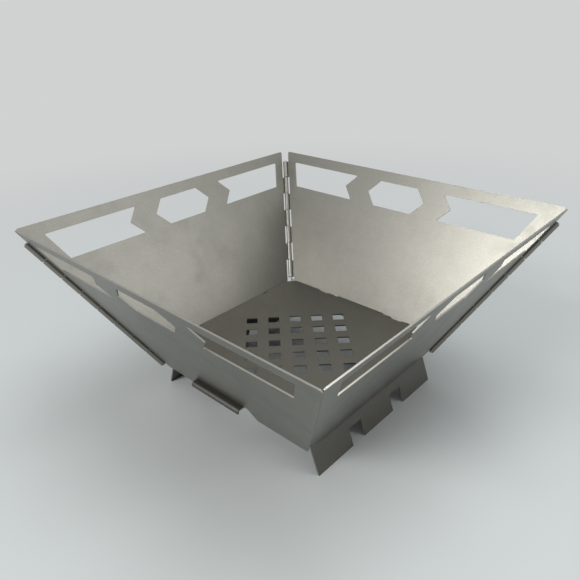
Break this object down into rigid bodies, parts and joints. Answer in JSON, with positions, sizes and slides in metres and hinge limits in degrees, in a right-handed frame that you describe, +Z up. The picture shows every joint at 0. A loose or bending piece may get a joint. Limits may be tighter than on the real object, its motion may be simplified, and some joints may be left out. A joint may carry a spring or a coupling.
{
  "type": "folding camp stove",
  "caption": "Square flared bowl of hinged sheet-metal walls with cut-outs under the rim, round a perforated fire plate on a low base with folding splayed legs.",
  "frame": {"origin": "on the floor below the centre of the bowl", "axes": "+Z up, -Y towards the front wall, +X towards the right wall and its leg"},
  "size_m": [0.3058, 0.3058, 0.154],
  "materials": {
    "wall_metal": "bead-blasted satin sheet, warm grey",
    "plate_metal": "bead-blasted satin sheet, darker brownish grey",
    "base_metal": "bead-blasted satin sheet, darker brownish grey",
    "pin_metal": "drawn wire, satin"
  },
  "bodies": {
    "base": {"base_frame": "base_metal", "left_leg_pin": "pin_metal", "right_leg_pin": "pin_metal"},
    "left_leg": {"left_leg": "base_metal"},
    "right_leg": {"right_leg": "base_metal"},
    "fire_plate": {"fire_plate": "plate_metal"},
    "ring": {"back_hinge_pin": "pin_metal"},
    "left_wall": {"left_wall": "wall_metal", "left_hinge_pin": "pin_metal"},
    "back_wall": {"back_wall": "wall_metal", "right_hinge_pin": "pin_metal"},
    "front_wall": {"front_wall": "wall_metal"},
    "right_wall": {"right_wall": "wall_metal"}
  },
  "joints": [
    {"name": "left_leg_fold", "type": "hinge", "parent": "base", "child": "left_leg", "pos_m": [-0.07146, 0, 0.03725], "axis": [0, -1, 0], "range_deg": [0, 110]},
    {"name": "right_leg_fold", "type": "hinge", "parent": "base", "child": "right_leg", "pos_m": [0.07146, 0, 0.03725], "axis": [0, 1, 0], "range_deg": [0, 110]},
    {"name": "ring_lift", "type": "slide", "parent": "base", "child": "ring", "axis": [-0.1925, 0.1925, 0.9623], "range_m": [0, 0.31]},
    {"name": "fire_plate_lift", "type": "slide", "parent": "base", "child": "fire_plate", "axis": [0, 0, 1], "range_m": [0, 0.682]},
    {"name": "left_wall_fold", "type": "hinge", "parent": "ring", "child": "left_wall", "pos_m": [-0.11415, 0.11415, 0.08795], "axis": [-0.4344, 0.4344, 0.7891], "range_deg": [0, 51.73]},
    {"name": "back_wall_fold", "type": "hinge", "parent": "ring", "child": "back_wall", "pos_m": [-0.11415, 0.11415, 0.08795], "axis": [0.4344, -0.4344, -0.7891], "range_deg": [0, 51.73]},
    {"name": "front_wall_fold", "type": "hinge", "parent": "left_wall", "child": "front_wall", "pos_m": [-0.11671, -0.11671, 0.08513], "axis": [0.4344, 0.4344, -0.7891], "range_deg": [0, 256.55]},
    {"name": "right_wall_fold", "type": "hinge", "parent": "back_wall", "child": "right_wall", "pos_m": [0.11671, 0.11671, 0.08513], "axis": [0.4344, 0.4344, 0.7891], "range_deg": [0, 256.55]}
  ],
  "couplings": [
    {"joint": "fire_plate_lift", "follows": "ring_lift", "ratio": 2.2},
    {"joint": "left_wall_fold", "follows": "ring_lift", "rad_per_m": 2.9121},
    {"joint": "back_wall_fold", "follows": "ring_lift", "rad_per_m": 2.9121},
    {"joint": "front_wall_fold", "follows": "ring_lift", "rad_per_m": 14.444},
    {"joint": "right_wall_fold", "follows": "ring_lift", "rad_per_m": 14.444}
  ]
}
